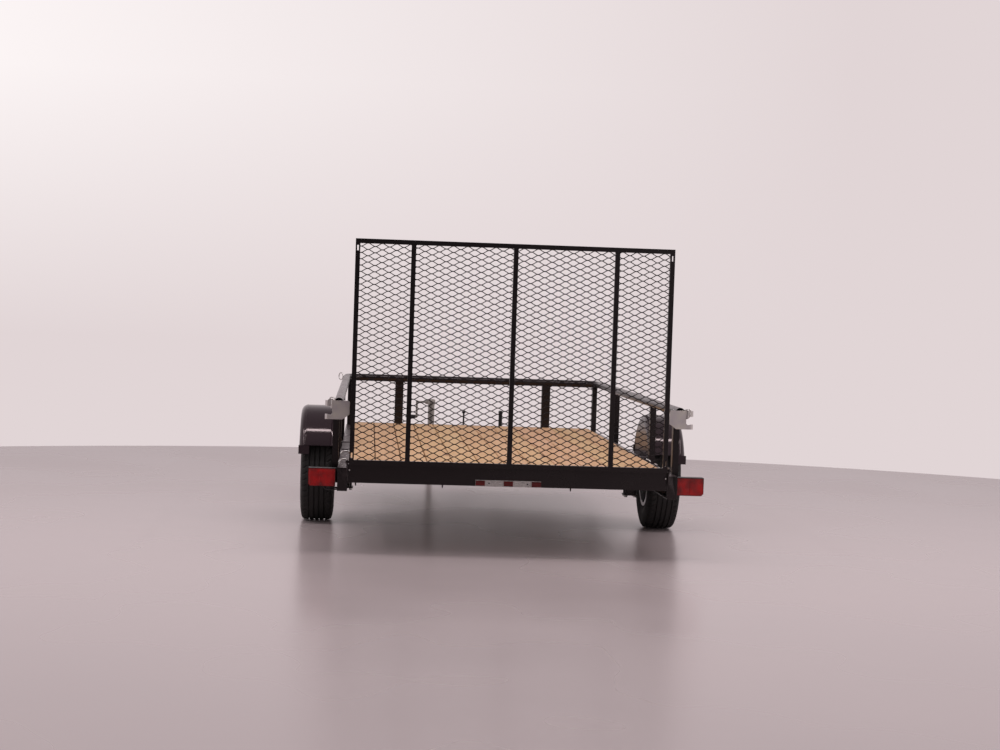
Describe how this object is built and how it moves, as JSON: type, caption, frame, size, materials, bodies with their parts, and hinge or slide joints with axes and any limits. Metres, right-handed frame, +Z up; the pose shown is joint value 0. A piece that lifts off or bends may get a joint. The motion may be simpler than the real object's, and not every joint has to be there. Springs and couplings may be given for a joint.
{
  "type": "utility trailer",
  "caption": "Single-axle utility trailer: plank deck, round-tube rail, upright mesh ramp gate, round fenders, A-frame tongue with ball coupler and swivel jack.",
  "frame": {"origin": "on the ground, at the centre of the footprint's bounding box", "axes": "+X to the right, +Y forward to the coupler, +Z up"},
  "size_m": [2.352, 4.9448, 1.69],
  "materials": {
    "black_paint": "gloss",
    "pine": "satin",
    "zinc": "satin",
    "red_lens": "gloss",
    "bright_steel": "satin",
    "black_plastic": "matte",
    "tyre": "matte",
    "silver_paint": "gloss",
    "cast_iron": "satin"
  },
  "bodies": {
    "trailer": {"side_rail_right": "black_paint", "side_rail_left": "black_paint", "rear_crossmember": "black_paint", "front_crossmember": "black_paint", "inner_crossmembers": "black_paint", "deck_planks": "pine", "top_rail_right": "black_paint", "top_rail_left": "black_paint", "top_rail_front": "black_paint", "rail_posts_right": "black_paint", "rail_posts_left": "black_paint", "front_posts": "black_paint", "latch_plate_right": "zinc", "latch_plate_left": "zinc", "lamp_lens_right": "red_lens", "lamp_lens_left": "red_lens", "lamp_case_right": "black_plastic", "lamp_case_left": "black_plastic", "lamp_bar": "bright_steel", "lamp_bar_lenses": "red_lens", "fender_right": "black_paint", "fender_left": "black_paint", "fender_brackets_right": "black_paint", "fender_brackets_left": "black_paint", "axle_beam": "black_paint", "leaf_spring_right": "black_paint", "leaf_spring_left": "black_paint", "spring_hangers_right": "black_paint", "spring_hangers_left": "black_paint", "tongue_right": "black_paint", "tongue_left": "black_paint", "coupler": "zinc", "jack_mount": "black_paint", "plug_holder": "black_plastic"},
    "gate": {"gate_frame": "black_paint", "gate_mesh": "black_paint"},
    "jack": {"jack_tube": "zinc", "jack_leg": "zinc", "jack_crank": "zinc"},
    "wheel_right": {"tyre_right": "tyre", "rim_right": "silver_paint", "hub_right": "cast_iron"},
    "wheel_left": {"tyre_left": "tyre", "rim_left": "silver_paint", "hub_left": "cast_iron"}
  },
  "joints": [
    {"name": "gate_hinge", "type": "hinge", "parent": "trailer", "child": "gate", "pos_m": [0, -2.4564, 0.493], "axis": [1, 0, 0], "range_deg": [0, 113.4]},
    {"name": "jack_swivel", "type": "hinge", "parent": "trailer", "child": "jack", "pos_m": [-0.18015, 2.0316, 0.3422], "axis": [-0.9063, 0.4226, 0], "range_deg": [0, 90]},
    {"name": "wheel_right_spin", "type": "hinge", "parent": "trailer", "child": "wheel_right", "pos_m": [1.062, -0.8814, 0.332], "axis": [1, 0, 0], "continuous": true},
    {"name": "wheel_left_spin", "type": "hinge", "parent": "trailer", "child": "wheel_left", "pos_m": [-1.062, -0.8814, 0.332], "axis": [1, 0, 0], "continuous": true}
  ]
}
